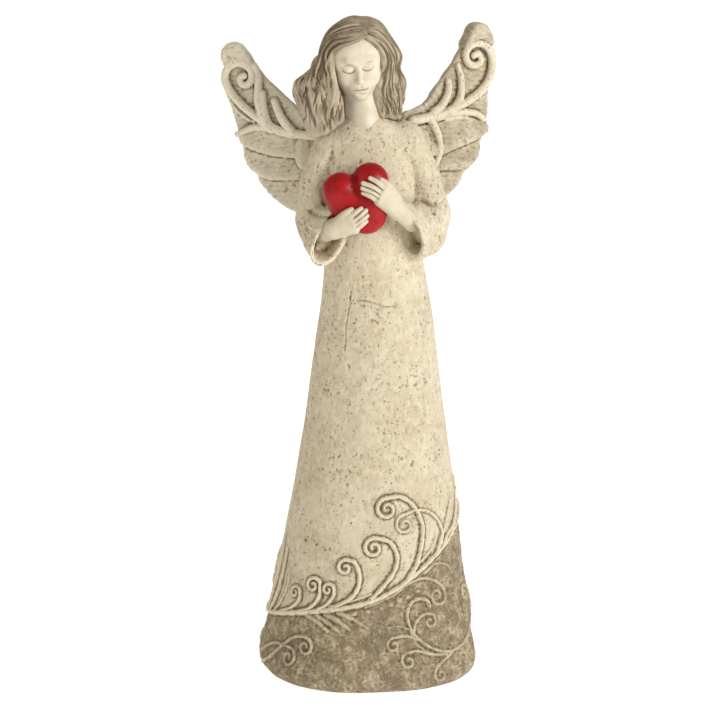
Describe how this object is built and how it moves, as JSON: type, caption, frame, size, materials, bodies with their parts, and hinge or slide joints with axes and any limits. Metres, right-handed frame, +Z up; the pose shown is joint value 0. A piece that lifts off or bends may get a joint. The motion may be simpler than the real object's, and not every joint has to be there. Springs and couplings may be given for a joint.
{
  "type": "angel figurine",
  "caption": "Standing resin angel in a long flared robe with vine relief, scrolled wings, a glossy red heart held at the chest, and a flat felted base.",
  "frame": {"origin": "middle of the flat felted face that it stands on", "axes": "+Z up, the figure faces -Y, +X is towards the figure's own left wing"},
  "size_m": [0.14, 0.0979, 0.33],
  "materials": {
    "robe_resin": "matt cast resin, ivory with taupe wash in pits and relief",
    "wing_resin": "matt cast resin, ivory with tan wash in the recesses",
    "ivory_resin": "smooth satin ivory resin",
    "hair_resin": "matt grey-brown dry-brushed resin",
    "red_enamel": "semi-gloss red enamel",
    "base_resin": "plain unpainted resin",
    "felt": "pressed brown felt",
    "pin_steel": "plain steel wire"
  },
  "bodies": {
    "root": {"robe": "robe_resin", "base_disc": "base_resin", "felt_pad": "felt", "sleeve_right": "robe_resin", "sleeve_left": "robe_resin", "hand_right": "ivory_resin", "hand_left": "ivory_resin", "heart": "red_enamel", "head": "ivory_resin", "hair": "hair_resin", "wing_right": "wing_resin", "wing_left": "wing_resin", "wing_pins_right": "pin_steel", "wing_pins_left": "pin_steel", "heart_pin": "pin_steel", "neck_pin": "pin_steel"}
  },
  "joints": []
}
